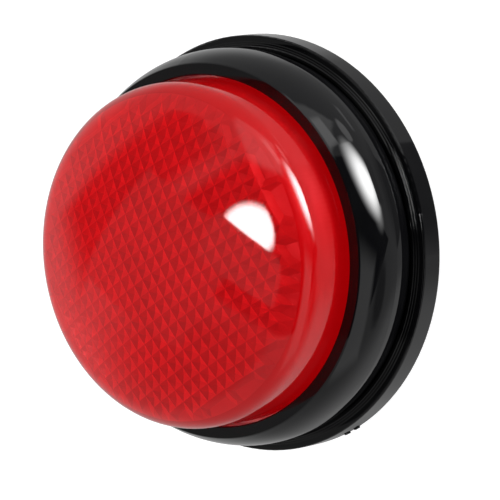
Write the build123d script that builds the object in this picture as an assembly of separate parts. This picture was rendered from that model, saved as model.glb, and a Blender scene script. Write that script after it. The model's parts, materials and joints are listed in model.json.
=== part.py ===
from build123d import *
import math
import os

# Light-up quiz buzzer: a big red push dome in a black barrel-shaped bezel on a round flanged base.
# All lengths are in millimetres. +Z is the way the dome points, and the feet stand on z = 0.

# ---- driving dimensions ----
FOOT_STAND = 0.5  # how far the feet hold the rim off the table
BASE_R = 47.65  # radius of the base's outer wall
BASE_H = 5.9  # height of the base's outer ledge above the rim's bottom edge
BASE_EDGE = 0.5  # rounding of the ledge's outer edge
BASE_FOOT_EDGE = 0.4  # rounding of the wall's bottom edge
STEPS = ((46.25, 6.2), (45.75, 6.5), (45.3, 6.8))  # outer radius and height of each step up from the ledge
STEP_EDGE = 0.25  # rounding of each step
GROOVE_R = 44.5  # outer radius of the groove that the bezel's foot stands in
SEAT_H = 5.9  # height of the seat that carries the bezel
SEAT_IN = 40.6
CORE_IN = 42.9  # the hollow ring under the ledge
CORE_OUT = 45.3
CORE_TOP = 3.8
BELLY_R = 45.3  # widest radius of the bezel
BELLY_H = 12.9
BELLY_LOW_R = 17.0  # radius of the barrel's curve below the belly
BEZEL_WALL = 2.0
BEZEL_EDGE = 0.35  # rounding of the bezel's edges
COLLAR_WALL = 1.5
LIP_R = 42.4  # sharp outer edge of the bezel's flat top
LIP_H = 23.1
OPENING_R = 39.7  # hole in the bezel that the dome slides in
DOME_R = 39.2  # dome wall at its lower edge
DOME_DRAFT = 1.05  # degrees
SHOULDER_R = 8.5
SHOULDER_H = 31.9
CAP_R = 91.0  # radius of the dome's shallow cap
LENS_WALL = 2.0
DOME_TRAVEL = 2.5
SWITCH_TRAVEL = 0.25
GAP = 0.3  # between faces of pieces that move against each other

# ---- heights above the rim's bottom edge ----
FLOOR_T = 2.0
COLLAR_END = 16.5
FLANGE_T = 1.6
LENS_END = COLLAR_END - GAP
FLANGE_END = LENS_END - FLANGE_T
PLATE_H = 25.6
PLATE_T = 1.6
CARRIER_WALL = 1.5
CARRIER_CLEAR = 0.25
FLANGE_REACH = 1.7  # how far the stop flange reaches past the bezel's opening
STEM_R = 2.5
STEM_CLEAR = 0.02
BOARD_H = 16.5
BOARD_T = 1.6
BOARD_TOP = BOARD_H + BOARD_T
BAY_ROOF = 12.7
BAY_ROOF_T = 1.2

SWITCH_TOP = BOARD_TOP + 4.3  # the push switch's plunger at rest
SWITCH_SIDE = 6.0
SWITCH_BODY_H = 3.4
PLUNGER_R = 1.7
BOARD_SCREW_X = 18.5
BOARD_SCREW_YS = (11.5, -17.5)
BOARD_POST_R = 2.6
BOARD_PILOT_R = 0.85
BOARD_PILOT_L = 3.0

# ---- battery bay, two AAA cells side by side ----
CELL_R = 5.25
CELL_L = 43.3
CELL_NUB_R = 1.9
CELL_NUB_L = 1.1
CELL_PITCH = 10.8
CELL_START = -20.9  # the flat end of a cell that points along +X
CONTACT_T = 0.4
LEAD_YS = (-12.3, -4.6)  # where the two battery leads leave the bay
LEAD_H = 10.5
LEAD_SLOT = 1.6  # side of the square hole that each lead passes through
BOARD_LEAD_X = -20.2
CELL_H = 7.2
BAY_Y = -10.0
BAY_L = 48.6
BAY_W = 21.6
BAY_WALL = 1.2
DOOR_LIP = 1.5  # how far the door overlaps the opening all round
DOOR_T = 1.3
DOOR_DEPTH = 1.4
DOOR_CLEAR = 0.25
DOOR_SCREW_X = 29.4
DOOR_EAR_R = 4.4
DOOR_POST_R = 3.0  # the post that the door's screw bites into
DOOR_POST_H = 9.0
DOOR_PILOT_R = 1.05
DOOR_PILOT_H = 8.0
TONGUE_L = 3.0
TONGUE_W = 5.0
TONGUE_Y = 6.0

# ---- round things on circles ----
SCREW_RING = 39.5  # housing screws
SCREW_ANGLES = (45, 135, 225, 315)
SCREW_HEAD_H = 2.6  # height of the seat that each screw head pulls against
SCREW_POST_R = 3.6
SCREW_BORE_R = 2.9
SCREW_HOLE_R = 1.6
SCREW_BOSS_R = 3.2
SCREW_BOSS_L = 5.6
SCREW_PILOT_R = 1.3
SCREW_L = 6.5
DRILL_START = 1.0  # how far below a surface each cut starts, to clear it
ROOTED = 0.5  # how far up from the rim each post starts, inside the floor
SKIM = 0.001  # how far a shallow cut starts below its surface
NIB_RING = 47.5
NIB_ANGLES = (195.9, 199.6)
NIB_SIZE = (0.8, 1.3, 0.8)
FOOT_RING = 36.0
FOOT_ANGLES = (0, 90, 180, 270)
FOOT_R = 4.0
FOOT_RECESS = 0.3
SPRING_RING = 31.0  # return springs and their guide pins
SPRING_ANGLES = (30, 150, 270)
SPRING_R = 2.6
SPRING_WIRE = 0.5
SPRING_TURNS = 7
TOWER_H = 11.0
TOWER_R = 3.5
PIN_R = 1.6
PIN_CLEAR = 0.15
PIN_HOLE_DEPTH = 7.0

# ---- speaker ----
SPEAKER_Y = 18.5
SPEAKER_R = 14.0
SPEAKER_T = 3.2
MAGNET_R = 7.0
MAGNET_T = 2.6
SPEAKER_FENCE_W = 1.2  # the low wall round the speaker
SPEAKER_FENCE_H = 3.0
GRILLE_HOLE_R = 0.9
GRILLE_PITCH = 3.4
GRILLE_RINGS = 3

# ---- light sources ----
LED_X = 13.0
LED_Y = 9.0
LED_R = 2.5
LED_FLANGE_R = 2.9
LED_BODY = 5.9
LED_HOLE_R = 3.7

PART_DIR = "parts"


def at(height):
    """A height above the rim's bottom edge, as z."""
    return height + FOOT_STAND


def polar(radius, degrees, height=0.0):
    a = math.radians(degrees)
    return Pos(radius * math.cos(a), radius * math.sin(a), at(height))


def cyl(radius, length):
    """A cylinder standing on its own origin."""
    return Cylinder(radius, length, align=(Align.CENTER, Align.CENTER, Align.MIN))


def block(x, y, z):
    return Box(x, y, z, align=(Align.CENTER, Align.CENTER, Align.MIN))


def turned(face):
    """Turns a flat face, drawn as radius and height above the rim, about the Z axis."""
    return Pos(0, 0, FOOT_STAND) * revolve(Plane.XZ * face, Axis.Z)


def outline(points):
    closed = list(points) + [points[0]]
    return [Line(a, b) for a, b in zip(closed, closed[1:])]


def arc_about(centre, radius, first, last):
    """An arc from angle first to angle last, in degrees from the outward direction."""
    def on(angle):
        a = math.radians(angle)
        return (centre[0] + radius * math.cos(a), centre[1] + radius * math.sin(a))
    return ThreePointArc(on(first), on((first + last) / 2), on(last))


# ---- housing ----
def rounded(face, corner, radius):
    """Rounds the corner of a flat face that is nearest to this radius and height."""
    return fillet(face.vertices().sort_by_distance((*corner, 0))[0], radius)


def base_body():
    """The flanged tray: rounded outer wall, stepped ledge, cored ring beneath and a floor."""
    corners = [(BASE_R, 0), (BASE_R, BASE_H)]
    for radius, height in STEPS:
        corners.append((radius, corners[-1][1]))
        corners.append((radius, height))
    corners += [
        (GROOVE_R, STEPS[-1][1]), (GROOVE_R, SEAT_H), (SEAT_IN, SEAT_H), (SEAT_IN, FLOOR_T), (0, FLOOR_T),
        (0, 0), (CORE_IN, 0), (CORE_IN, CORE_TOP), (CORE_OUT, CORE_TOP), (CORE_OUT, 0),
    ]
    face = make_face(outline(corners))
    face = rounded(face, (BASE_R, 0), BASE_FOOT_EDGE)
    face = rounded(face, (BASE_R, BASE_H), BASE_EDGE)
    for step in STEPS:
        face = rounded(face, step, STEP_EDGE)
    return turned(face)


def screw_post():
    """A round post that carries one housing screw."""
    return cyl(SCREW_POST_R, SEAT_H)


def screw_hole():
    """The counterbore for a screw's head and the hole for its shank, from DRILL_START below the rim."""
    return cyl(SCREW_BORE_R, SCREW_HEAD_H + DRILL_START) + cyl(SCREW_HOLE_R, SEAT_H + 2 * DRILL_START)


def battery_bay():
    """The box over the cells, with a roof, standing on the floor."""
    outer = block(BAY_L + 2 * BAY_WALL, BAY_W + 2 * BAY_WALL, BAY_ROOF + BAY_ROOF_T)
    return Pos(0, BAY_Y, at(0)) * outer


def bay_hollow():
    """What the bay takes out: the room for the cells, and the door's recess under the floor."""
    room = Pos(0, BAY_Y, at(-DRILL_START)) * block(BAY_L, BAY_W, BAY_ROOF + DRILL_START)
    return room + door_shape(DOOR_LIP, -DRILL_START, DOOR_DEPTH + DRILL_START)


def door_shape(lip, height, thickness):
    """The door's plan: a rounded plate with an ear for its screw and two tongues opposite."""
    plate = RectangleRounded(BAY_L + 2 * lip, BAY_W + 2 * lip, 1.5)
    ear_r = DOOR_EAR_R + lip - DOOR_LIP
    ear = Pos(DOOR_SCREW_X, 0) * Circle(ear_r)
    neck = Pos(DOOR_SCREW_X / 2, 0) * Rectangle(DOOR_SCREW_X, 2 * ear_r)
    plan = plate + ear + neck
    for side in (-1, 1):
        tongue = Rectangle(TONGUE_L + lip, TONGUE_W + 2 * (lip - DOOR_LIP))
        plan += Pos(-BAY_L / 2 - DOOR_LIP - lip / 2, side * TONGUE_Y) * tongue
    return Pos(0, BAY_Y, at(height)) * extrude(plan, thickness)


def speaker_grille():
    """Round sound holes in the floor under the speaker."""
    hole = Pos(0, SPEAKER_Y, at(-DRILL_START)) * cyl(GRILLE_HOLE_R, FLOOR_T + 2 * DRILL_START)
    holes = hole
    for ring in range(1, GRILLE_RINGS + 1):
        for i in range(6 * ring):
            a = math.radians(360 * i / (6 * ring))
            reach = GRILLE_PITCH * ring
            holes += Pos(reach * math.cos(a), reach * math.sin(a), 0) * hole
    return holes


def board_posts():
    """Four posts for the circuit board: two on the floor and two on the bay's roof."""
    posts = []
    for x in (-BOARD_SCREW_X, BOARD_SCREW_X):
        for y, low in zip(BOARD_SCREW_YS, (FLOOR_T / 4, BAY_ROOF)):
            posts.append(Pos(x, y, at(low)) * cyl(BOARD_POST_R, BOARD_H - low))
    return posts


def board_screw_places():
    return [Pos(x, y, at(BOARD_TOP)) for x in (-BOARD_SCREW_X, BOARD_SCREW_X) for y in BOARD_SCREW_YS]


def speaker_fence():
    """The low round wall that centres the speaker on the floor."""
    inner = SPEAKER_R + GAP
    ring = cyl(inner + SPEAKER_FENCE_W, SPEAKER_FENCE_H) - cyl(inner, SPEAKER_FENCE_H)
    return Pos(0, SPEAKER_Y, at(ROOTED)) * ring


def rim_nibs():
    """Two tiny moulded nibs side by side at the bottom of the outer wall."""
    nibs = []
    for degrees in NIB_ANGLES:
        nibs.append(polar(NIB_RING, degrees) * Rot(0, 0, degrees) * block(*NIB_SIZE))
    return nibs


def base_shell():
    shell = base_body() + battery_bay()
    for a in SCREW_ANGLES:
        shell += polar(SCREW_RING, a) * screw_post()
    for a in SPRING_ANGLES:
        shell += polar(SPRING_RING, a, ROOTED) * cyl(TOWER_R, TOWER_H - ROOTED)
    for post in board_posts():
        shell += post
    shell += Pos(DOOR_SCREW_X, BAY_Y, at(ROOTED)) * cyl(DOOR_POST_R, DOOR_POST_H - ROOTED)
    shell += speaker_fence()
    for nib in rim_nibs():
        shell += nib
    shell -= bay_hollow()
    shell -= speaker_grille()
    shell -= Pos(DOOR_SCREW_X, BAY_Y, at(-DRILL_START)) * cyl(DOOR_PILOT_R, DOOR_PILOT_H + DRILL_START)
    for a in SCREW_ANGLES:
        shell -= polar(SCREW_RING, a, -DRILL_START) * screw_hole()
    for a in SPRING_ANGLES:
        hole = cyl(PIN_R + PIN_CLEAR, PIN_HOLE_DEPTH + DRILL_START)
        shell -= polar(SPRING_RING, a, TOWER_H - PIN_HOLE_DEPTH) * hole
    for place in board_screw_places():
        hole = cyl(BOARD_PILOT_R, BOARD_PILOT_L + DRILL_START)
        shell -= place * Pos(0, 0, -BOARD_T - BOARD_PILOT_L) * hole
    for a in FOOT_ANGLES:
        shell -= polar(FOOT_RING, a, -SKIM) * cyl(FOOT_R + 0.1, FOOT_RECESS + SKIM)
    for y in LEAD_YS:
        slot = block(BAY_WALL + 0.2, LEAD_SLOT, LEAD_SLOT)
        shell -= Pos(-BAY_L / 2 - BAY_WALL / 2, y, at(LEAD_H - LEAD_SLOT / 2)) * slot
    return shell


def barrel_arcs(offset):
    """The barrel's outer curve moved inwards by offset: radius and centre above the belly, then below it."""
    rise = LIP_H - BELLY_H
    inset = BELLY_R - LIP_R
    upper = (rise ** 2 + inset ** 2) / (2 * inset)
    return upper - offset, (BELLY_R - upper, BELLY_H), BELLY_LOW_R - offset, (BELLY_R - BELLY_LOW_R, BELLY_H)


def bezel_ring():
    """The barrel-shaped upper shell: its flat top, the dome's guiding collar and four screw bosses."""
    collar_r = OPENING_R + COLLAR_WALL
    edge = BEZEL_EDGE
    up_r, up_c, low_r, low_c = barrel_arcs(0)
    drop = BELLY_H - SEAT_H
    low_a = -math.degrees(math.asin(drop / low_r))
    lip_a = math.degrees(math.asin((LIP_H - edge - BELLY_H) / up_r))
    lip_start = up_c[0] + up_r * math.cos(math.radians(lip_a))
    in_r, in_c, inlow_r, inlow_c = barrel_arcs(BEZEL_WALL)
    top_a = math.degrees(math.acos((collar_r - in_c[0]) / in_r))
    top_z = in_c[1] + in_r * math.sin(math.radians(top_a))
    inlow_a = -math.degrees(math.asin(drop / inlow_r))
    foot_out = low_c[0] + low_r * math.cos(math.radians(low_a))
    foot_in = inlow_c[0] + inlow_r * math.cos(math.radians(inlow_a))
    flat_end = lip_start - 0.75 * edge
    lean = (-math.sin(math.radians(lip_a)), math.cos(math.radians(lip_a)))
    edges = [
        arc_about(low_c, low_r, low_a, 0),
        arc_about(up_c, up_r, 0, lip_a),
        TangentArc((lip_start, LIP_H - edge), (flat_end, LIP_H), tangent=lean),
        Line((flat_end, LIP_H), (OPENING_R + edge, LIP_H)),
        arc_about((OPENING_R + edge, LIP_H - edge), edge, 90, 180),
        Line((OPENING_R, LIP_H - edge), (OPENING_R, COLLAR_END)),
        Line((OPENING_R, COLLAR_END), (collar_r, COLLAR_END)),
        Line((collar_r, COLLAR_END), (collar_r, top_z)),
        arc_about(in_c, in_r, top_a, 0),
        arc_about(inlow_c, inlow_r, 0, inlow_a),
        Line((foot_in, SEAT_H), (foot_out, SEAT_H)),
    ]
    ring = turned(make_face(edges))
    for a in SCREW_ANGLES:
        boss = polar(SCREW_RING, a, SEAT_H) * cyl(SCREW_BOSS_R, SCREW_BOSS_L)
        ring += boss & (Pos(0, 0, at(0)) * cyl(CORE_IN, LIP_H))
    for a in SCREW_ANGLES:
        ring -= polar(SCREW_RING, a, SEAT_H - DRILL_START) * cyl(SCREW_PILOT_R, SCREW_BOSS_L + 0.2)
    return ring


# ---- dome ----
def shell_profile(inset):
    """The dome's surface, inset from the outside: wall foot, shoulder, cap, and where those two meet."""
    slope = math.radians(DOME_DRAFT)
    foot_r = DOME_R - inset / math.cos(slope)
    shoulder_c = DOME_R - math.tan(slope) * (SHOULDER_H - LENS_END) - SHOULDER_R / math.cos(slope)
    cap_h = SHOULDER_H - math.sqrt((CAP_R - SHOULDER_R) ** 2 - shoulder_c ** 2)
    meet = math.degrees(math.atan2(SHOULDER_H - cap_h, shoulder_c))
    return foot_r, (shoulder_c, SHOULDER_H), SHOULDER_R - inset, (0, cap_h), CAP_R - inset, meet


def dome_edges(inset):
    foot_r, shoulder_c, shoulder_r, cap_c, cap_r, meet = shell_profile(inset)
    shoulder = arc_about(shoulder_c, shoulder_r, DOME_DRAFT, meet)
    return [
        Line((foot_r, LENS_END), shoulder @ 0),
        shoulder,
        arc_about(cap_c, cap_r, meet, 90),
    ]


def dome_lens():
    outside = dome_edges(0)
    inside = dome_edges(LENS_WALL)
    closing = [
        Line(outside[0] @ 0, inside[0] @ 0),
        Line(outside[-1] @ 1, inside[-1] @ 1),
    ]
    return turned(make_face(outside + inside + closing))


def reflector_carrier():
    """The white carrier under the lens: plate, skirt, stop flange, switch stem and three guide pins."""
    draft = math.tan(math.radians(DOME_DRAFT)) * (PLATE_H + PLATE_T - LENS_END)
    inner = DOME_R - LENS_WALL - CARRIER_CLEAR - draft
    flange_r = OPENING_R + FLANGE_REACH
    skirt_in = inner - CARRIER_WALL
    carrier = turned(make_face(outline([
        (0, PLATE_H), (skirt_in, PLATE_H), (skirt_in, FLANGE_END), (flange_r, FLANGE_END),
        (flange_r, LENS_END), (inner, LENS_END), (inner, PLATE_H + PLATE_T), (0, PLATE_H + PLATE_T),
    ])))
    stem_end = SWITCH_TOP + DOME_TRAVEL - SWITCH_TRAVEL + STEM_CLEAR
    carrier += Pos(0, 0, at(stem_end)) * cyl(STEM_R, PLATE_H + 0.5 - stem_end)
    for x in (-LED_X, LED_X):
        for y in (-LED_Y, LED_Y):
            carrier -= Pos(x, y, at(PLATE_H - 1)) * cyl(LED_HOLE_R, PLATE_T + 2)
    pin_end = TOWER_H - 2.5
    for a in SPRING_ANGLES:
        carrier += polar(SPRING_RING, a, pin_end) * cyl(PIN_R, PLATE_H + 0.5 - pin_end)
    for i in range(6):
        rib = block(8.0, 1.2, 2.2)
        carrier += Rot(0, 0, 60 * i) * Pos(inner - 4.6, 0, at(PLATE_H - 2)) * rib
    return carrier


# ---- springs ----
def coil(radius, wire, length, turns):
    """A coil spring standing on its origin, with its end coils' centres one wire radius in from each end."""
    run = length - 2 * wire
    path = Helix(pitch=run / turns, height=run, radius=radius)
    start = Plane(origin=path @ 0, z_dir=path % 0)
    wire_solid = sweep(start * Circle(wire / 2), path=path, is_frenet=True)
    return Pos(0, 0, wire) * wire_solid


def return_spring(degrees):
    low = TOWER_H + 0.05
    return polar(SPRING_RING, degrees, low) * coil(SPRING_R, SPRING_WIRE, PLATE_H - low - 0.05, SPRING_TURNS)


# ---- power ----
def cell_places():
    """The two cells lie along X, side by side and head to tail."""
    return [
        Pos(0, BAY_Y - CELL_PITCH / 2, at(CELL_H)),
        Pos(0, BAY_Y + CELL_PITCH / 2, at(CELL_H)) * Rot(0, 0, 180),
    ]


def battery(place):
    """A AAA cell: a can with rolled edges and its positive nub, pointing along +X before it is placed."""
    can = Rot(0, 90, 0) * cyl(CELL_R, CELL_L)
    can = fillet(can.edges().filter_by(GeomType.CIRCLE), 0.5)
    nub = Pos(CELL_L - 0.1, 0, 0) * Rot(0, 90, 0) * cyl(CELL_NUB_R, CELL_NUB_L + 0.1)
    return place * Pos(CELL_START, 0, 0) * (can + nub)


def contact_plate(width):
    """A flat plate against the bay's end wall, at +X before it is placed."""
    low = Pos(BAY_L / 2 - CONTACT_T / 2, 0, -4)
    return low * block(CONTACT_T, width, 8.0)


def contact_spring(place):
    """The coil behind a cell's flat end, standing on its plate."""
    radius, wire_d, sunk = 3.0, 0.6, 0.15
    gap = CELL_START + BAY_L / 2 - CONTACT_T
    spring = Rot(0, 90, 0) * coil(radius, wire_d, gap + wire_d + sunk, 3)
    return place * Pos(-BAY_L / 2 + CONTACT_T - wire_d / 2 - sunk, 0, 0) * spring


def contact_button(place):
    """The raised button that a cell's nub presses on."""
    start = CELL_START + CELL_L + CELL_NUB_L
    return place * Pos(start, 0, 0) * Rot(0, 90, 0) * cyl(1.4, BAY_L / 2 - CONTACT_T / 2 - start)


def negative_contact():
    first = cell_places()[0]
    return first * Rot(0, 0, 180) * contact_plate(8.4) + contact_spring(first)


def positive_contact():
    second = cell_places()[1]
    return second * contact_plate(8.4) + contact_button(second)


def link_contact():
    """One plate across the bay's other end: a button for the first cell and a coil for the second."""
    first, second = cell_places()
    plate = Pos(0, BAY_Y, at(CELL_H)) * contact_plate(19.0)
    return plate + contact_button(first) + contact_spring(second)


def battery_door():
    """The door in the base, with finger ribs inside and a hole for its screw."""
    door = door_shape(DOOR_LIP - DOOR_CLEAR, 0, DOOR_T)
    for y in (-CELL_PITCH / 2, CELL_PITCH / 2):
        cradle = block(36.0, 2.4, 0.5)
        door += Pos(0, BAY_Y + y, at(DOOR_T - 0.1)) * cradle
    for i in range(5):
        groove = block(1.0, 9.0, 0.5)
        door -= Pos(-21.0 + 2.2 * i, BAY_Y, at(-0.001)) * groove
    door -= Pos(DOOR_SCREW_X, BAY_Y, at(-1)) * cyl(1.25, 4)
    door -= Pos(DOOR_SCREW_X, BAY_Y, at(-0.001)) * cyl(2.3, 0.6)
    return door


def cross_screw(head_r, head_h, shank_r, length):
    """A pan screw with a cross recess, head on the origin and shank along -Z."""
    head = fillet(cyl(head_r, head_h).edges().sort_by(Axis.Z)[-1], head_h * 0.4)
    recess = block(head_r * 1.2, head_r * 0.26, head_h) + block(head_r * 0.26, head_r * 1.2, head_h)
    shank = Pos(0, 0, -length) * cyl(shank_r, length + 0.1)
    tip = Pos(0, 0, -length - shank_r) * Cone(
        0.15, shank_r, shank_r, align=(Align.CENTER, Align.CENTER, Align.MIN))
    return head + shank + tip - Pos(0, 0, head_h * 0.45) * recess


def door_screw():
    flip = Pos(DOOR_SCREW_X, BAY_Y, at(0.6)) * Rot(180, 0, 0)
    return flip * cross_screw(2.1, 0.55, 0.95, 6.5)


def housing_screws():
    screw = Rot(180, 0, 0) * cross_screw(2.5, 1.7, 1.2, SCREW_L)
    return Compound(children=[polar(SCREW_RING, a, SCREW_HEAD_H) * screw for a in SCREW_ANGLES])


# ---- electronics ----
def circuit_board():
    board = Pos(0, -3, at(BOARD_H)) * extrude(RectangleRounded(44, 38, 2.5), BOARD_T)
    for place in board_screw_places():
        board -= place * Pos(0, 0, -BOARD_T - 1) * cyl(1.25, BOARD_T + 2)
    return board


def board_screws():
    screws = [place * cross_screw(2.0, 1.3, 0.8, BOARD_T + 2.0) for place in board_screw_places()]
    return Compound(children=screws)


def switch_body():
    """The push switch's square case, with the well that its plunger slides in."""
    body = Pos(0, 0, at(BOARD_TOP)) * block(SWITCH_SIDE, SWITCH_SIDE, SWITCH_BODY_H)
    body = chamfer(body.edges().filter_by(Axis.Z), 0.4)
    return body - Pos(0, 0, at(BOARD_TOP + 1.5)) * cyl(PLUNGER_R + 0.1, SWITCH_BODY_H)


def switch_plunger():
    low = BOARD_TOP + 2.0
    plunger = Pos(0, 0, at(low)) * cyl(PLUNGER_R, SWITCH_TOP - low)
    return fillet(plunger.edges().sort_by(Axis.Z)[-1], 0.3)


def led(x, y):
    """A round-nosed LED standing on the board."""
    body = cyl(LED_FLANGE_R, 1.0) + cyl(LED_R, LED_BODY)
    nose = Pos(0, 0, LED_BODY) * Sphere(LED_R)
    return Pos(x, y, at(BOARD_TOP)) * (body + nose)


def sound_chip():
    """The black resin blob over the sound chip."""
    dome_r = 6.0
    cap = Pos(0, 0, -dome_r + 1.4) * Sphere(dome_r)
    blob = cap & block(12, 12, 2)
    return Pos(-6.0, -14.5, at(BOARD_TOP)) * blob


def capacitor():
    can = fillet(cyl(2.5, 4.4).edges().sort_by(Axis.Z)[-1], 0.4)
    return Pos(7.0, -14.5, at(BOARD_TOP)) * can


def resistors():
    group = []
    for i in range(3):
        group.append(Pos(-2.6 + 2.6 * i, 11.0, at(BOARD_TOP)) * block(1.25, 2.0, 0.55))
    return Compound(children=group)


# ---- speaker ----
def speaker_frame():
    """The stamped basket: a rim on the floor and a stepped cup above the cone."""
    cup = turned(make_face(outline([
        (SPEAKER_R, 0), (SPEAKER_R, 1.0), (SPEAKER_R - 2, SPEAKER_T), (MAGNET_R - 2, SPEAKER_T),
        (MAGNET_R - 2, SPEAKER_T - 0.6), (SPEAKER_R - 2.3, SPEAKER_T - 0.6), (SPEAKER_R - 0.9, 1.0),
        (SPEAKER_R - 1.6, 0.6), (SPEAKER_R - 1.6, 0),
    ])))
    return Pos(0, SPEAKER_Y, FLOOR_T) * cup


def speaker_magnet():
    body = Pos(0, SPEAKER_Y, at(FLOOR_T + SPEAKER_T)) * cyl(MAGNET_R, MAGNET_T)
    return fillet(body.edges().sort_by(Axis.Z)[-1], 0.5)


def speaker_cone():
    """The thin diaphragm with its rolled edge and centre dome."""
    t = 0.35
    edge = SPEAKER_R - 1.7
    below = [(0, 1.0), (3.4, 0.7), (edge - 2.6, 0.35), (edge - 1.3, 0.55), (edge, 0.05)]
    above = [(radius, height + t) for radius, height in reversed(below)]
    cone = turned(make_face(outline(below + above)))
    return Pos(0, SPEAKER_Y, FLOOR_T) * cone


def wire(points, bend):
    """A round insulated wire along straight runs with rounded bends."""
    wire_r = 0.55
    path = FilletPolyline(*points, radius=bend)
    start = Plane(origin=path @ 0, z_dir=path % 0)
    return sweep(start * Circle(wire_r), path=path)


def speaker_wires():
    """Two leads from the speaker's rear edge to the board's underside."""
    wires = []
    for side in (-1, 1):
        x = 2.4 * side
        wires.append(wire([
            (x, SPEAKER_Y - 8.5, at(FLOOR_T + SPEAKER_T)), (x, SPEAKER_Y - 8.5, at(9.5)),
            (1.7 * x, SPEAKER_Y - 9.0, at(12.5)), (1.7 * x, SPEAKER_Y - 9.0, at(BOARD_H)),
        ], 1.2))
    return Compound(children=wires)


def battery_wires():
    """Two leads from the contacts at the bay's -X end up past the roof to the board's underside."""
    wires = []
    inside = -BAY_L / 2
    outside = inside - BAY_WALL - 1.0
    for y in LEAD_YS:
        wires.append(wire([
            (inside, y, at(LEAD_H)), (outside, y, at(LEAD_H)), (outside, y, at(BOARD_H - 1.2)),
            (BOARD_LEAD_X, y, at(BOARD_H - 1.2)), (BOARD_LEAD_X, y, at(BOARD_H)),
        ], 0.55))
    return Compound(children=wires)


def foot_pad(degrees):
    pad = cyl(FOOT_R, FOOT_STAND + FOOT_RECESS)
    pad = chamfer(pad.edges().sort_by(Axis.Z)[0], 0.2)
    return polar(FOOT_RING, degrees, -FOOT_STAND) * pad


def all_parts():
    parts = {
        "base_shell": base_shell(),
        "bezel_ring": bezel_ring(),
        "dome_lens": dome_lens(),
        "reflector_carrier": reflector_carrier(),
        "battery_door": battery_door(),
        "door_screw": door_screw(),
        "housing_screws": housing_screws(),
        "circuit_board": circuit_board(),
        "board_screws": board_screws(),
        "switch_body": switch_body(),
        "switch_plunger": switch_plunger(),
        "sound_chip": sound_chip(),
        "capacitor": capacitor(),
        "resistors": resistors(),
        "speaker_frame": speaker_frame(),
        "speaker_magnet": speaker_magnet(),
        "speaker_cone": speaker_cone(),
        "speaker_wires": speaker_wires(),
        "battery_wires": battery_wires(),
        "negative_contact": negative_contact(),
        "positive_contact": positive_contact(),
        "link_contact": link_contact(),
    }
    for i, place in enumerate(cell_places(), 1):
        parts[f"battery_{i}"] = battery(place)
    for i, degrees in enumerate(SPRING_ANGLES, 1):
        parts[f"return_spring_{i}"] = return_spring(degrees)
    for i, degrees in enumerate(FOOT_ANGLES, 1):
        parts[f"foot_pad_{i}"] = foot_pad(degrees)
    led_places = [(x, y) for y in (-LED_Y, LED_Y) for x in (-LED_X, LED_X)]
    for i, (x, y) in enumerate(led_places, 1):
        parts[f"led_{i}"] = led(x, y)
    return parts


def main():
    os.makedirs(PART_DIR, exist_ok=True)
    for name, shape in all_parts().items():
        export_step(shape, f"{PART_DIR}/{name}.step")
        print(name, round(shape.volume, 1))


main()
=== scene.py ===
import bpy
import json
import math
from mathutils import Matrix, Vector
from mathutils.geometry import delaunay_2d_cdt


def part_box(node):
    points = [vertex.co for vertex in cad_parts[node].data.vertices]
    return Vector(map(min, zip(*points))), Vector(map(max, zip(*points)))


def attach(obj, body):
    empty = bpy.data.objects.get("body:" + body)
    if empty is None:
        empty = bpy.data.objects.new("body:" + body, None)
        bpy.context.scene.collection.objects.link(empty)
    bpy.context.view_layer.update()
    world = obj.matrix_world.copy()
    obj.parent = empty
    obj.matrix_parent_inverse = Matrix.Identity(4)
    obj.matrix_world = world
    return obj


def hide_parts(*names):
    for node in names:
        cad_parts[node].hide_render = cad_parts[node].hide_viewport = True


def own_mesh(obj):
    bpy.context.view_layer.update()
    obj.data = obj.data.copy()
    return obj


# A light-up quiz buzzer: clear red push dome, glossy black bezel, stepped black base. Lengths in metres.
MM = 0.001

# ---- camera: its place round the base, and how the picture is rolled ----
CAMERA_DISTANCE = 917.06 * MM
CAMERA_ELEVATION = math.radians(50.846)
CAMERA_ROLL = math.radians(99.325)  # turns the dome's axis from upright to the picture's left
CAMERA_LENS = 288.0  # mm
CAMERA_SENSOR = 36.0  # mm
AIM_RIGHT = 4.98 * MM  # the base's middle lies this far right of the picture's middle
AIM_UP = 2.03 * MM

# ---- dome ----
DRAFT = math.radians(1.05)
SHOULDER_R = 8.5 * MM
SHOULDER_Z = 32.4 * MM
CAP_R = 91.0 * MM
LENS_WALL = 2.0 * MM
PRISM_PITCH = 2.94 * MM
PRISM_TURN = math.radians(20.7)  # the prism grid's first axis, from +X
PRISM_DEPTH = 0.8 * MM
PRISM_END_R = 35.8 * MM  # the prisms stop here, where the shoulder turns down
PRISM_MARGIN = 0.15 * PRISM_PITCH  # no prism corner lies nearer than this to the field's edge
RIBS = 216
RIB_DEPTH = 0.12 * MM
RIB_FADE = 10  # the ribs fade out over this many rings of the inner shoulder
CAP_STEPS = 40
SHOULDER_STEPS = 24
INNER_STEPS = 14
WALL_STEPS = 4
MERGE = 1e-7  # metres; prism corners closer than this are one point

# ---- return springs ----
SPRING_WIRE = 0.5 * MM
SPRING_TURNS = 7
SPRING_STEPS = 24  # rings of wire in one turn
WIRE_SIDES = 10

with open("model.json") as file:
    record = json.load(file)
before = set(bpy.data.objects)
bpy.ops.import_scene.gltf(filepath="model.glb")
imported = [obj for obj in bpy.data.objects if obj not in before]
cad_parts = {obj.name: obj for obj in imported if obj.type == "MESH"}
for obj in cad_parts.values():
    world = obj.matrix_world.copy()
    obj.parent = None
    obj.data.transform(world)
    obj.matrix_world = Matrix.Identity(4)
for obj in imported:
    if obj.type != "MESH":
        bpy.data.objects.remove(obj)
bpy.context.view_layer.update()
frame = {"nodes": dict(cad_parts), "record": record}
nodes = frame["nodes"]


# ---- mesh helpers ----
def new_object(name, points, faces, smooth=True):
    mesh = bpy.data.meshes.new(name)
    mesh.from_pydata([tuple(p) for p in points], [], faces)
    mesh.update()
    if smooth:
        mesh.shade_smooth()
    else:
        mesh.shade_flat()
    piece = bpy.data.objects.new(name, mesh)
    bpy.context.scene.collection.objects.link(piece)
    return piece


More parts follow.
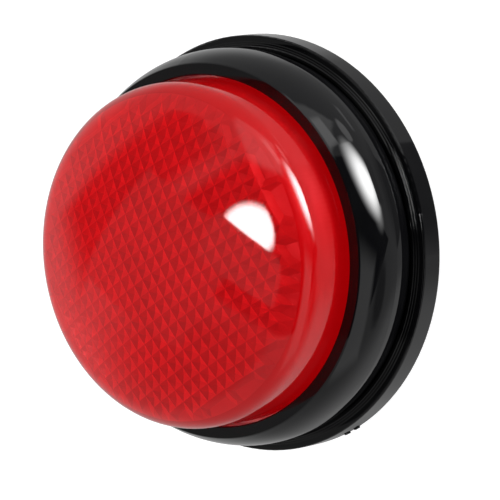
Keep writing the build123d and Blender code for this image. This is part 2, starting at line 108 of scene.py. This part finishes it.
def arc(centre, radius, first, last, steps):
    """Points (r, z) on an arc from angle first to last, measured up from the outward direction."""
    points = []
    for i in range(steps + 1):
        a = first + (last - first) * i / steps
        points.append((centre[0] + radius * math.cos(a), centre[1] + radius * math.sin(a)))
    return points


class Dome:
    """The dome's profile at some depth below its outer surface."""

    def __init__(self, inset):
        low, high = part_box("dome_lens")
        self.foot_z = low.z
        self.foot_r = high.x - inset / math.cos(DRAFT)
        drop = SHOULDER_Z - low.z
        self.centre = (high.x - math.tan(DRAFT) * drop - SHOULDER_R / math.cos(DRAFT), SHOULDER_Z)
        self.cap_z = SHOULDER_Z - math.sqrt((CAP_R - SHOULDER_R) ** 2 - self.centre[0] ** 2)
        self.meet = math.atan2(SHOULDER_Z - self.cap_z, self.centre[0])
        self.shoulder_r = SHOULDER_R - inset
        self.cap_r = CAP_R - inset

    def height(self, r):
        """The surface's height at radius r, over the cap and the shoulder."""
        if r <= self.cap_r * math.cos(self.meet):
            return self.cap_z + math.sqrt(self.cap_r ** 2 - r ** 2)
        return self.centre[1] + math.sqrt(max(self.shoulder_r ** 2 - (r - self.centre[0]) ** 2, 0.0))

    def shoulder_angle(self, r):
        return math.acos((r - self.centre[0]) / self.shoulder_r)

    def sunk(self, r, depth):
        """Where a point at radius r goes when it moves depth inwards: its new radius and height."""
        z = self.height(r)
        if r <= self.cap_r * math.cos(self.meet):
            slope = Vector((r, z - self.cap_z)) / self.cap_r
        else:
            slope = Vector((r - self.centre[0], z - self.centre[1])) / self.shoulder_r
        return r - slope.x * depth, z - slope.y * depth


# ---- the lens: smooth outside, moulded prisms and fine ribs inside ----
def ring_of(r, z, count):
    """Points evenly spaced round a circle at height z, from +X."""
    points = []
    for i in range(count):
        a = 2 * math.pi * i / count
        points.append((r * math.cos(a), r * math.sin(a), z))
    return points


def bridge(first, second, count):
    """Quads between two rings of points that start at these indices."""
    faces = []
    for i in range(count):
        j = (i + 1) % count
        faces.append((first + i, first + j, second + j, second + i))
    return faces


def outer_rings(dome):
    """Radius and height from the cap's middle down to the wall's foot."""
    cap = arc((0, dome.cap_z), dome.cap_r, math.pi / 2, dome.meet, CAP_STEPS)[1:]
    shoulder = arc(dome.centre, dome.shoulder_r, dome.meet, DRAFT, SHOULDER_STEPS)[1:]
    wall_top = Vector(shoulder[-1])
    foot = Vector((dome.foot_r, dome.foot_z))
    wall = [tuple(wall_top.lerp(foot, (k + 1) / WALL_STEPS)) for k in range(WALL_STEPS)]
    return cap + shoulder + wall


def prism_plan(count):
    """The field seen from above: points, the lines between them, and which points are the prisms' tips."""
    along = Vector((math.cos(PRISM_TURN), math.sin(PRISM_TURN)))
    across = Vector((-along.y, along.x))
    reach = 2 * (int(PRISM_END_R / PRISM_PITCH) + 2)
    plan = [Vector(p[:2]) for p in ring_of(PRISM_END_R, 0, count)]
    lines = [(i, (i + 1) % count) for i in range(count)]
    index = {}
    for i in range(-reach, reach + 1):
        for j in range(-reach, reach + 1):
            # even pairs are the grid's corners, odd pairs the prisms' tips
            if (i - j) % 2:
                continue
            place = (along * i + across * j) * (PRISM_PITCH / 2)
            if place.length < PRISM_END_R - PRISM_MARGIN:
                index[i, j] = len(plan)
                plan.append(place)
    for (i, j), at in index.items():
        steps = ((1, 1), (1, -1)) if i % 2 else ((2, 0), (0, 2), (1, 1), (1, -1))
        for di, dj in steps:
            other = index.get((i + di, j + dj))
            if other is not None:
                lines.append((at, other))
    tips = {at for (i, j), at in index.items() if i % 2}
    return plan, lines, tips


def prism_surface(dome, count):
    """The prism field as points and triangles, closed by a round ring of count points, which come first."""
    plan, lines, tips = prism_plan(count)
    places, _, faces, sources_of, _, _ = delaunay_2d_cdt(plan, lines, [], 1, MERGE)
    points = []
    for place, sources in zip(places, sources_of):
        r = place.length
        depth = 0.0
        if any(source in tips for source in sources):
            depth = PRISM_DEPTH * min(1.0, 2 * (PRISM_END_R - r) / PRISM_PITCH)
        new_r, z = dome.sunk(r, depth)
        points.append((place.x * new_r / max(r, MERGE), place.y * new_r / max(r, MERGE), z))
    ring_index = {source: n for n, sources in enumerate(sources_of) for source in sources if source < count}
    ring = [ring_index[i] for i in range(count)]
    on_ring = set(ring)
    order = ring + [n for n in range(len(points)) if n not in on_ring]
    moved = {old: new for new, old in enumerate(order)}
    triangles = [tuple(moved[v] for v in reversed(face)) for face in faces]
    return [points[old] for old in order], triangles


def outer_skin(dome, count):
    """The lens's smooth outside, from the cap's middle down to the wall's foot."""
    points = [(0, 0, dome.cap_z + dome.cap_r)]
    faces = [(0, 1 + i, 1 + (i + 1) % count) for i in range(count)]
    rings = outer_rings(dome)
    for k, (r, z) in enumerate(rings):
        points += ring_of(r, z, count)
        if k:
            faces += [face[::-1] for face in bridge(1 + (k - 1) * count, 1 + k * count, count)]
    return points, faces


def ribbed_rings(dome, count):
    """The inside from the foot up to the prisms. Every other point is a rib's crest, until the ribs fade."""
    start = dome.shoulder_angle(PRISM_END_R)
    profile = [(dome.foot_r, dome.foot_z)] + arc(dome.centre, dome.shoulder_r, DRAFT, start, INNER_STEPS)[:-1]
    rings = []
    for k, (r, z) in enumerate(profile):
        height = RIB_DEPTH * max(0.0, 1.0 - max(0, k - 1) / RIB_FADE)
        smooth = ring_of(r, z, count)
        ribs = ring_of(r - height, z, count)
        rings.append([ribs[i] if i % 2 else smooth[i] for i in range(count)])
    return rings


def make_lens():
    count = 2 * RIBS
    points, faces = outer_skin(Dome(0.0), count)
    outer_faces = len(faces)
    inside = Dome(LENS_WALL)
    previous = len(points) - count
    for ring in ribbed_rings(inside, count):
        here = len(points)
        points += ring
        faces += [face[::-1] for face in bridge(previous, here, count)]
        previous = here
    prisms, triangles = prism_surface(inside, count)
    here = len(points)
    points += prisms
    faces += [face[::-1] for face in bridge(previous, here, count)]
    first_flat = len(faces)
    faces += [tuple(here + v for v in face) for face in triangles]
    lens = new_object("lens", points, faces)
    for face in lens.data.polygons:
        face.use_smooth = face.index < first_flat
        face.material_index = (face.index >= outer_faces) + (face.index >= first_flat)
    return lens


# ---- the return springs ----
def make_spring(node, name):
    """A coil of round wire that fills the node's box."""
    low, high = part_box(node)
    middle = (low + high) / 2
    radius = (high.x - low.x - SPRING_WIRE) / 2
    rise = high.z - low.z - SPRING_WIRE
    lean = math.atan(rise / (2 * math.pi * radius * SPRING_TURNS))
    rings = SPRING_TURNS * SPRING_STEPS + 1
    points = []
    for i in range(rings):
        a = 2 * math.pi * i / SPRING_STEPS
        out = Vector((math.cos(a), math.sin(a), 0))
        up = Vector((math.sin(a) * math.sin(lean), -math.cos(a) * math.sin(lean), math.cos(lean)))
        centre = Vector((middle.x, middle.y, low.z + SPRING_WIRE / 2 + rise * i / (rings - 1))) + out * radius
        for k in range(WIRE_SIDES):
            b = 2 * math.pi * k / WIRE_SIDES
            points.append(centre + (out * math.cos(b) + up * math.sin(b)) * (SPRING_WIRE / 2))
    faces = []
    for i in range(rings - 1):
        faces += [face[::-1] for face in bridge(i * WIRE_SIDES, (i + 1) * WIRE_SIDES, WIRE_SIDES)]
    faces.append(tuple(range(WIRE_SIDES)))
    last = (rings - 1) * WIRE_SIDES
    faces.append(tuple(range(last + WIRE_SIDES - 1, last - 1, -1)))
    return new_object(name, points, faces)


def make_springs():
    """One coil for each spring, standing on the base."""
    for number in (1, 2, 3):
        node = f"return_spring_{number}"
        spring = make_spring(node, f"spring_coil_{number}")
        spring.data.materials.append(nodes[node].data.materials[0])
        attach(spring, "housing")
        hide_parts(node)
        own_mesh(spring)


# ---- materials ----
PATCH_SHARE = 0.1  # a surface's colour patches and its gloss vary on coarser scales than its grain
GLOSS_SHARE = 0.3
RELIEF = 0.02 * MM
LENS_TINT = (0.97, 0.10, 0.12)
PAINTED_LIGHT_TURN = math.radians(180)  # painted light: the azimuth that the facets painted lighter face
PAINTED_SHADE_TILT = 0.4  # how far a facet's normal leans that way, or back, for the full painted difference
PAINTED_FACET_SHADE = 0.62  # painted shade: the darker facets' tone beside the lighter ones
PRISM_MIRROR = 0.15
PAINTED_PRISM_GLOW = 0.63  # painted glow, standing in for the light that the lens spreads inside itself
# painted glow of the lens's inner wall
PAINTED_SKIRT_GLOW = 0.30


def node_material(name):
    material = bpy.data.materials.new(name)
    material.use_nodes = True
    tree = material.node_tree
    tree.nodes.clear()
    return material, tree


def add(tree, kind, **values):
    """A node, with its sockets set by name and its settings by attribute."""
    node = tree.nodes.new(kind)
    for key, value in values.items():
        if key in node.inputs:
            node.inputs[key].default_value = value
        else:
            setattr(node, key, value)
    return node


def noise(tree, scale, detail=3.0, seed=0.0):
    """Fine 3-D noise in the object's own space, in cells per metre."""
    place = add(tree, "ShaderNodeTexCoord")
    move = add(tree, "ShaderNodeMapping")
    move.inputs["Location"].default_value = (seed, seed, seed)
    texture = add(tree, "ShaderNodeTexNoise", Scale=scale, Detail=detail)
    tree.links.new(place.outputs["Object"], move.inputs["Vector"])
    tree.links.new(move.outputs["Vector"], texture.inputs["Vector"])
    return texture.outputs["Fac"]


def spread(tree, value, low, high, start=0.3, end=0.7):
    """Maps a value from start..end to low..high."""
    node = add(tree, "ShaderNodeMapRange")
    for key, number in (("From Min", start), ("From Max", end), ("To Min", low), ("To Max", high)):
        node.inputs[key].default_value = number
    tree.links.new(value, node.inputs["Value"])
    return node.outputs["Result"]


def blend_colour(tree, factor, first, second):
    """The first colour at 0 and the second at 1."""
    node = add(tree, "ShaderNodeMix", data_type="RGBA")
    tree.links.new(factor, node.inputs["Factor"])
    node.inputs[6].default_value = (*first, 1)
    node.inputs[7].default_value = (*second, 1)
    return node.outputs[2]


def surface(name, colour, second, roughness, grain, bump, metallic=0.0):
    """A moulded or worked surface: two close colours in soft patches, uneven gloss and a fine relief."""
    material, tree = node_material(name)
    shader = add(tree, "ShaderNodeBsdfPrincipled", Metallic=metallic)
    patches = spread(tree, noise(tree, grain * PATCH_SHARE, seed=3.0), 0.0, 1.0)
    tree.links.new(blend_colour(tree, patches, colour, second), shader.inputs["Base Color"])
    gloss = spread(tree, noise(tree, grain * GLOSS_SHARE, seed=7.0), roughness[0], roughness[1])
    tree.links.new(gloss, shader.inputs["Roughness"])
    relief = add(tree, "ShaderNodeBump", Strength=bump, Distance=RELIEF)
    tree.links.new(noise(tree, grain, 4.0), relief.inputs["Height"])
    tree.links.new(relief.outputs["Normal"], shader.inputs["Normal"])
    out = add(tree, "ShaderNodeOutputMaterial")
    tree.links.new(shader.outputs["BSDF"], out.inputs["Surface"])
    return material


def lens_skin():
    """The polished outside of the lens: clear, with the gloss of acrylic."""
    material, tree = node_material("lens_skin")
    glass = add(tree, "ShaderNodeBsdfPrincipled", Roughness=0.03, IOR=1.49)
    glass.inputs["Transmission Weight"].default_value = 1.0
    glass.inputs["Base Color"].default_value = (*LENS_TINT, 1)
    clear = add(tree, "ShaderNodeBsdfTransparent")
    clear.inputs["Color"].default_value = (*LENS_TINT, 1)
    path = add(tree, "ShaderNodeLightPath")
    mix = add(tree, "ShaderNodeMixShader")
    out = add(tree, "ShaderNodeOutputMaterial")
    tree.links.new(path.outputs["Is Shadow Ray"], mix.inputs["Fac"])
    tree.links.new(glass.outputs["BSDF"], mix.inputs[1])
    tree.links.new(clear.outputs["BSDF"], mix.inputs[2])
    tree.links.new(mix.outputs["Shader"], out.inputs["Surface"])
    return material


def lens_prisms():
    """The moulded prisms: they turn light back. Their colour and glow carry painted light and shade: facets
    that face one way are painted lighter, the others darker.
    """
    colours = ((0.50, 0.028, 0.034), (0.56, 0.032, 0.040))
    material = surface("lens_prisms", *colours, (0.32, 0.40), 900, 0.03, PRISM_MIRROR)
    tree = material.node_tree
    shader = tree.nodes["Principled BSDF"]
    # painted glow: the prisms give out light though they are no lamp
    shader.inputs["Emission Strength"].default_value = PAINTED_PRISM_GLOW
    # painted light and shade: each facet's colour and glow are set by the way its normal faces
    light_facing = add(tree, "ShaderNodeVectorMath", operation="DOT_PRODUCT")
    light_facing.inputs[1].default_value = (math.sin(PAINTED_LIGHT_TURN), -math.cos(PAINTED_LIGHT_TURN), 0)
    tree.links.new(add(tree, "ShaderNodeTexCoord").outputs["Normal"], light_facing.inputs[0])
    painted_tone = spread(tree, light_facing.outputs["Value"], 0.0, 1.0, -PAINTED_SHADE_TILT, PAINTED_SHADE_TILT)
    painted_shade_colour = add(tree, "ShaderNodeMix", data_type="RGBA", blend_type="MULTIPLY")
    painted_shade_colour.inputs["Factor"].default_value = 1.0
    plain = shader.inputs["Base Color"].links[0].from_socket
    tree.links.new(plain, painted_shade_colour.inputs[6])
    tree.links.new(blend_colour(tree, painted_tone, (PAINTED_FACET_SHADE,) * 3, (1, 1, 1)), painted_shade_colour.inputs[7])
    tree.links.new(painted_shade_colour.outputs[2], shader.inputs["Base Color"])
    tree.links.new(painted_shade_colour.outputs[2], shader.inputs["Emission Color"])
    return material


def lens_skirt():
    """The lens's inner wall, frosted by its fine ribs, with a painted red glow."""
    colours = ((0.18, 0.012, 0.016), (0.21, 0.015, 0.018))
    material = surface("lens_skirt", *colours, (0.35, 0.45), 900, 0.03)
    shader = material.node_tree.nodes["Principled BSDF"]
    # painted glow: the inner wall gives out red light though it is no lamp
    shader.inputs["Emission Color"].default_value = (1.0, 0.0, 0.01, 1)
    shader.inputs["Emission Strength"].default_value = PAINTED_SKIRT_GLOW
    return material


PLASTIC = ((0.0030, 0.0030, 0.0036), (0.0042, 0.0042, 0.0048))
# each material slot's two colours, range of roughness, grain in cells per metre, relief and metal
LOOKS = {
    "black_plastic": (*PLASTIC, (0.03, 0.06), 1500, 0.02),
    "black_gloss": (*PLASTIC, (0.02, 0.04), 1200, 0.01),
    "white_plastic": ((0.8, 0.8, 0.78), (0.74, 0.74, 0.72), (0.35, 0.5), 2000, 0.2),
    "screw_steel": ((0.55, 0.55, 0.57), (0.42, 0.42, 0.44), (0.25, 0.45), 5000, 0.3, 1.0),
    "board_green": ((0.01, 0.12, 0.04), (0.01, 0.16, 0.05), (0.3, 0.45), 2500, 0.3),
    "switch_black": (*PLASTIC, (0.35, 0.5), 3000, 0.3),
    "resin_black": (*PLASTIC, (0.1, 0.25), 900, 0.5),
    "capacitor_sleeve": ((0.01, 0.02, 0.07), (0.02, 0.03, 0.09), (0.2, 0.3), 1500, 0.1),
    "resistor_black": ((0.02, 0.02, 0.02), (0.04, 0.04, 0.04), (0.4, 0.6), 4000, 0.2),
    "speaker_steel": ((0.5, 0.5, 0.5), (0.4, 0.4, 0.4), (0.3, 0.45), 3000, 0.2, 1.0),
    "speaker_film": ((0.3, 0.28, 0.22), (0.25, 0.23, 0.18), (0.3, 0.5), 1500, 0.3),
    "wire_red": ((0.5, 0.01, 0.01), (0.42, 0.01, 0.01), (0.35, 0.5), 1500, 0.1),
    "wire_black": ((0.02, 0.02, 0.02), (0.03, 0.03, 0.03), (0.35, 0.5), 1500, 0.1),
    "contact_plate": ((0.7, 0.68, 0.62), (0.6, 0.58, 0.52), (0.15, 0.3), 2500, 0.1, 1.0),
    "cell_sleeve": ((0.06, 0.06, 0.07), (0.08, 0.08, 0.09), (0.2, 0.3), 1500, 0.1),
    "spring_steel": ((0.55, 0.55, 0.57), (0.45, 0.45, 0.47), (0.2, 0.35), 5000, 0.1, 1.0),
    "foot_rubber": ((0.02, 0.02, 0.02), (0.035, 0.035, 0.035), (0.6, 0.85), 3500, 0.6),
    "led_clear": ((0.75, 0.78, 0.8), (0.8, 0.8, 0.82), (0.05, 0.1), 1200, 0.05),
}


def paint_nodes():
    """Gives every CAD node the look of its record's material slot."""
    made = {}
    for part in frame["record"]["subparts"]:
        slot = part["material_slot"]
        if slot in LOOKS:
            if slot not in made:
                made[slot] = surface(slot, *LOOKS[slot])
            mesh = nodes[part["node"]].data
            mesh.materials.clear()
            mesh.materials.append(made[slot])


# ---- studio: the floor, and a tent of light with its softboxes and dark openings ----
def direction(azimuth, elevation):
    """Azimuth 0 is -Y and 90 is +X, in degrees."""
    a, e = math.radians(azimuth), math.radians(elevation)
    return Vector((math.sin(a) * math.cos(e), -math.cos(a) * math.cos(e), math.sin(e)))


def calc(tree, operation, first, second):
    node = add(tree, "ShaderNodeMath", operation=operation)
    for socket, value in zip(node.inputs, (first, second)):
        if isinstance(value, (int, float)):
            socket.default_value = value
        else:
            tree.links.new(value, socket)
    return node.outputs[0]


def sky_chart(tree):
    """Where a direction lies on a flat chart: +Z in the middle, the horizon at radius 1, +X to the right."""
    seen = add(tree, "ShaderNodeTexCoord").outputs["Generated"]
    parts = add(tree, "ShaderNodeSeparateXYZ")
    tree.links.new(seen, parts.inputs[0])
    depth = calc(tree, "MAXIMUM", calc(tree, "ADD", parts.outputs["Z"], 1.0), CHART_END)
    return [calc(tree, "DIVIDE", parts.outputs[axis], depth) for axis in "XY"]


def patch_mask(tree, chart, x, y, half_wide, half_high, roll, soft, kind):
    """1 inside a turned box, ellipse or diamond on the chart, falling to 0 over the soft edge."""
    a = math.radians(roll)
    east, north = (calc(tree, "SUBTRACT", value, middle) for value, middle in zip(chart, (x, y)))

    def share(along_east, along_north, half):
        """How far out a place is along one of the patch's axes, as a share of its half size."""
        parts = (calc(tree, "MULTIPLY", east, along_east), calc(tree, "MULTIPLY", north, along_north))
        return calc(tree, "DIVIDE", calc(tree, "ABSOLUTE", calc(tree, "ADD", *parts), 0.0), half)

    wide = share(math.cos(a), math.sin(a), half_wide)
    high = share(-math.sin(a), math.cos(a), half_high)
    if kind == "box":
        reach = calc(tree, "MAXIMUM", wide, high)
    elif kind == "diamond":
        reach = calc(tree, "ADD", wide, high)
    else:
        squares = [calc(tree, "MULTIPLY", value, value) for value in (wide, high)]
        reach = calc(tree, "SQRT", calc(tree, "ADD", *squares), 0.0)
    node = add(tree, "ShaderNodeMapRange", interpolation_type="SMOOTHSTEP")
    edge = soft / min(half_wide, half_high)
    node.inputs["From Min"].default_value = 1 + edge
    node.inputs["From Max"].default_value = 1 - edge
    tree.links.new(reach, node.inputs["Value"])
    return node.outputs["Result"]


# what stands round the table, painted in this order:
# place on the chart, half sizes, turn in degrees, softness, shape and brightness
PATCHES = (
    (-3.10, -0.40, 1.50, 3.00, 0, 0.50, "round", 0.75),
    (2.00, 3.00, 1.40, 2.00, 0, 0.40, "round", 0.70),
    (0.0, 1.70, 1.50, 1.05, 0, 0.30, "round", 0.72),  # the tent's lit back
    (-0.24, 0.30, 0.12, 0.30, 0, 0.08, "round", 0.16),
    (0.19, 0.42, 0.09, 0.31, 25, 0.03, "box", 0.02),
    (-0.12, -0.83, 0.78, 1.20, -9, 0.02, "diamond", 0.01),  # the opening that the camera looks in through
    (0.0, 0.33, 0.21, 0.31, 0, 0.01, "diamond", 0.27),
    (0.72, -0.47, 0.33, 0.58, 50, 0.05, "diamond", 1.20),  # tall strip light
    (-0.74, -0.72, 0.56, 0.20, -34, 0.06, "box", 0.90),
    (-0.90, -1.30, 0.45, 0.22, -35, 0.08, "round", 0.15),
    (0.22, -1.60, 0.24, 0.17, 20, 0.14, "round", 5.0),
    (0.54, -1.37, 0.38, 0.27, 42, 0.18, "round", 30.0),  # large softbox
    (0.72, -1.79, 0.42, 0.17, 21, 0.02, "box", 0.35),
    (4.60, -15.2, 1.60, 13.4, 18, 0.05, "box", 0.12),  # the opening below
    (0.807, -0.677, 0.15, 0.10, 50, 0.03, "box", 2.5),
    (1.256, -1.09, 0.20, 0.15, 49, 0.03, "round", 1.6),
    (1.91, -1.10, 0.30, 0.08, 60, 0.03, "box", 1.0),
    (0.030, 0.034, 0.066, 0.073, 0, 0.012, "round", 34.0),  # overhead softbox
    (-0.0350, 0.0620, 0.12, 0.060, 48, 0.004, "box", 0.38),  # the flag that cuts its lower left
)
TENT = 0.42  # the brightness where there is no patch
CHART_END = 0.001  # keeps the chart finite straight down
FLOOR_HALF = 3.0


def make_tent():
    world = bpy.data.worlds.new("tent")
    world.use_nodes = True
    tree = world.node_tree
    tree.nodes.clear()
    chart = sky_chart(tree)
    glow = TENT
    for *shape, brightness in PATCHES:
        mask = patch_mask(tree, chart, *shape)
        kept = calc(tree, "MULTIPLY", calc(tree, "SUBTRACT", 1.0, mask), glow)
        glow = calc(tree, "ADD", kept, calc(tree, "MULTIPLY", mask, brightness))
    light = add(tree, "ShaderNodeBackground")
    out = add(tree, "ShaderNodeOutputWorld")
    tree.links.new(glow, light.inputs["Strength"])
    tree.links.new(light.outputs["Background"], out.inputs["Surface"])
    bpy.context.scene.world = world


def make_floor():
    """A pale floor, clear from below. The object's reflections and lighting pass through it."""
    half = FLOOR_HALF
    corners = [(-half, -half, 0), (half, -half, 0), (half, half, 0), (-half, half, 0)]
    floor = new_object("floor", corners, [(0, 1, 2, 3)], smooth=False)
    material, tree = node_material("floor")
    pale = add(tree, "ShaderNodeBsdfDiffuse")
    pale.inputs["Color"].default_value = (0.3, 0.3, 0.3, 1)
    glow = add(tree, "ShaderNodeEmission", Strength=1.0)
    both = add(tree, "ShaderNodeAddShader")
    clear = add(tree, "ShaderNodeBsdfTransparent")
    mix = add(tree, "ShaderNodeMixShader")
    side = add(tree, "ShaderNodeNewGeometry")
    out = add(tree, "ShaderNodeOutputMaterial")
    tree.links.new(pale.outputs["BSDF"], both.inputs[0])
    tree.links.new(glow.outputs["Emission"], both.inputs[1])
    tree.links.new(side.outputs["Backfacing"], mix.inputs["Fac"])
    tree.links.new(both.outputs["Shader"], mix.inputs[1])
    tree.links.new(clear.outputs["BSDF"], mix.inputs[2])
    tree.links.new(mix.outputs["Shader"], out.inputs["Surface"])
    floor.data.materials.append(material)
    floor.visible_glossy = False
    floor.visible_diffuse = False
    floor.visible_shadow = False
    floor.visible_transmission = False


def make_camera():
    """Looks down at the dome, rolled so that the dome points to the picture's left."""
    back = direction(0, math.degrees(CAMERA_ELEVATION))
    level = Vector((1, 0, 0))
    upright = back.cross(level)
    turn = Matrix.Rotation(-CAMERA_ROLL, 3, back)
    right, up = turn @ level, turn @ upright
    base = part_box("base_shell")[0].z
    target = Vector((0, 0, base)) - right * AIM_RIGHT - up * AIM_UP
    data = bpy.data.cameras.new("camera")
    data.sensor_width = CAMERA_SENSOR
    data.lens = CAMERA_LENS
    data.clip_start = 0.05
    camera = bpy.data.objects.new("camera", data)
    place = Matrix((right, up, back)).transposed().to_4x4()
    place.translation = target + back * CAMERA_DISTANCE
    camera.matrix_world = place
    bpy.context.scene.collection.objects.link(camera)
    bpy.context.scene.camera = camera


make_camera()
make_floor()
make_tent()
paint_nodes()
make_springs()

lens = make_lens()
lens.data.materials.append(lens_skin())
lens.data.materials.append(lens_skirt())
lens.data.materials.append(lens_prisms())
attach(lens, "dome")
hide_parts("dome_lens")

bpy.context.scene.view_settings.view_transform = "Standard"
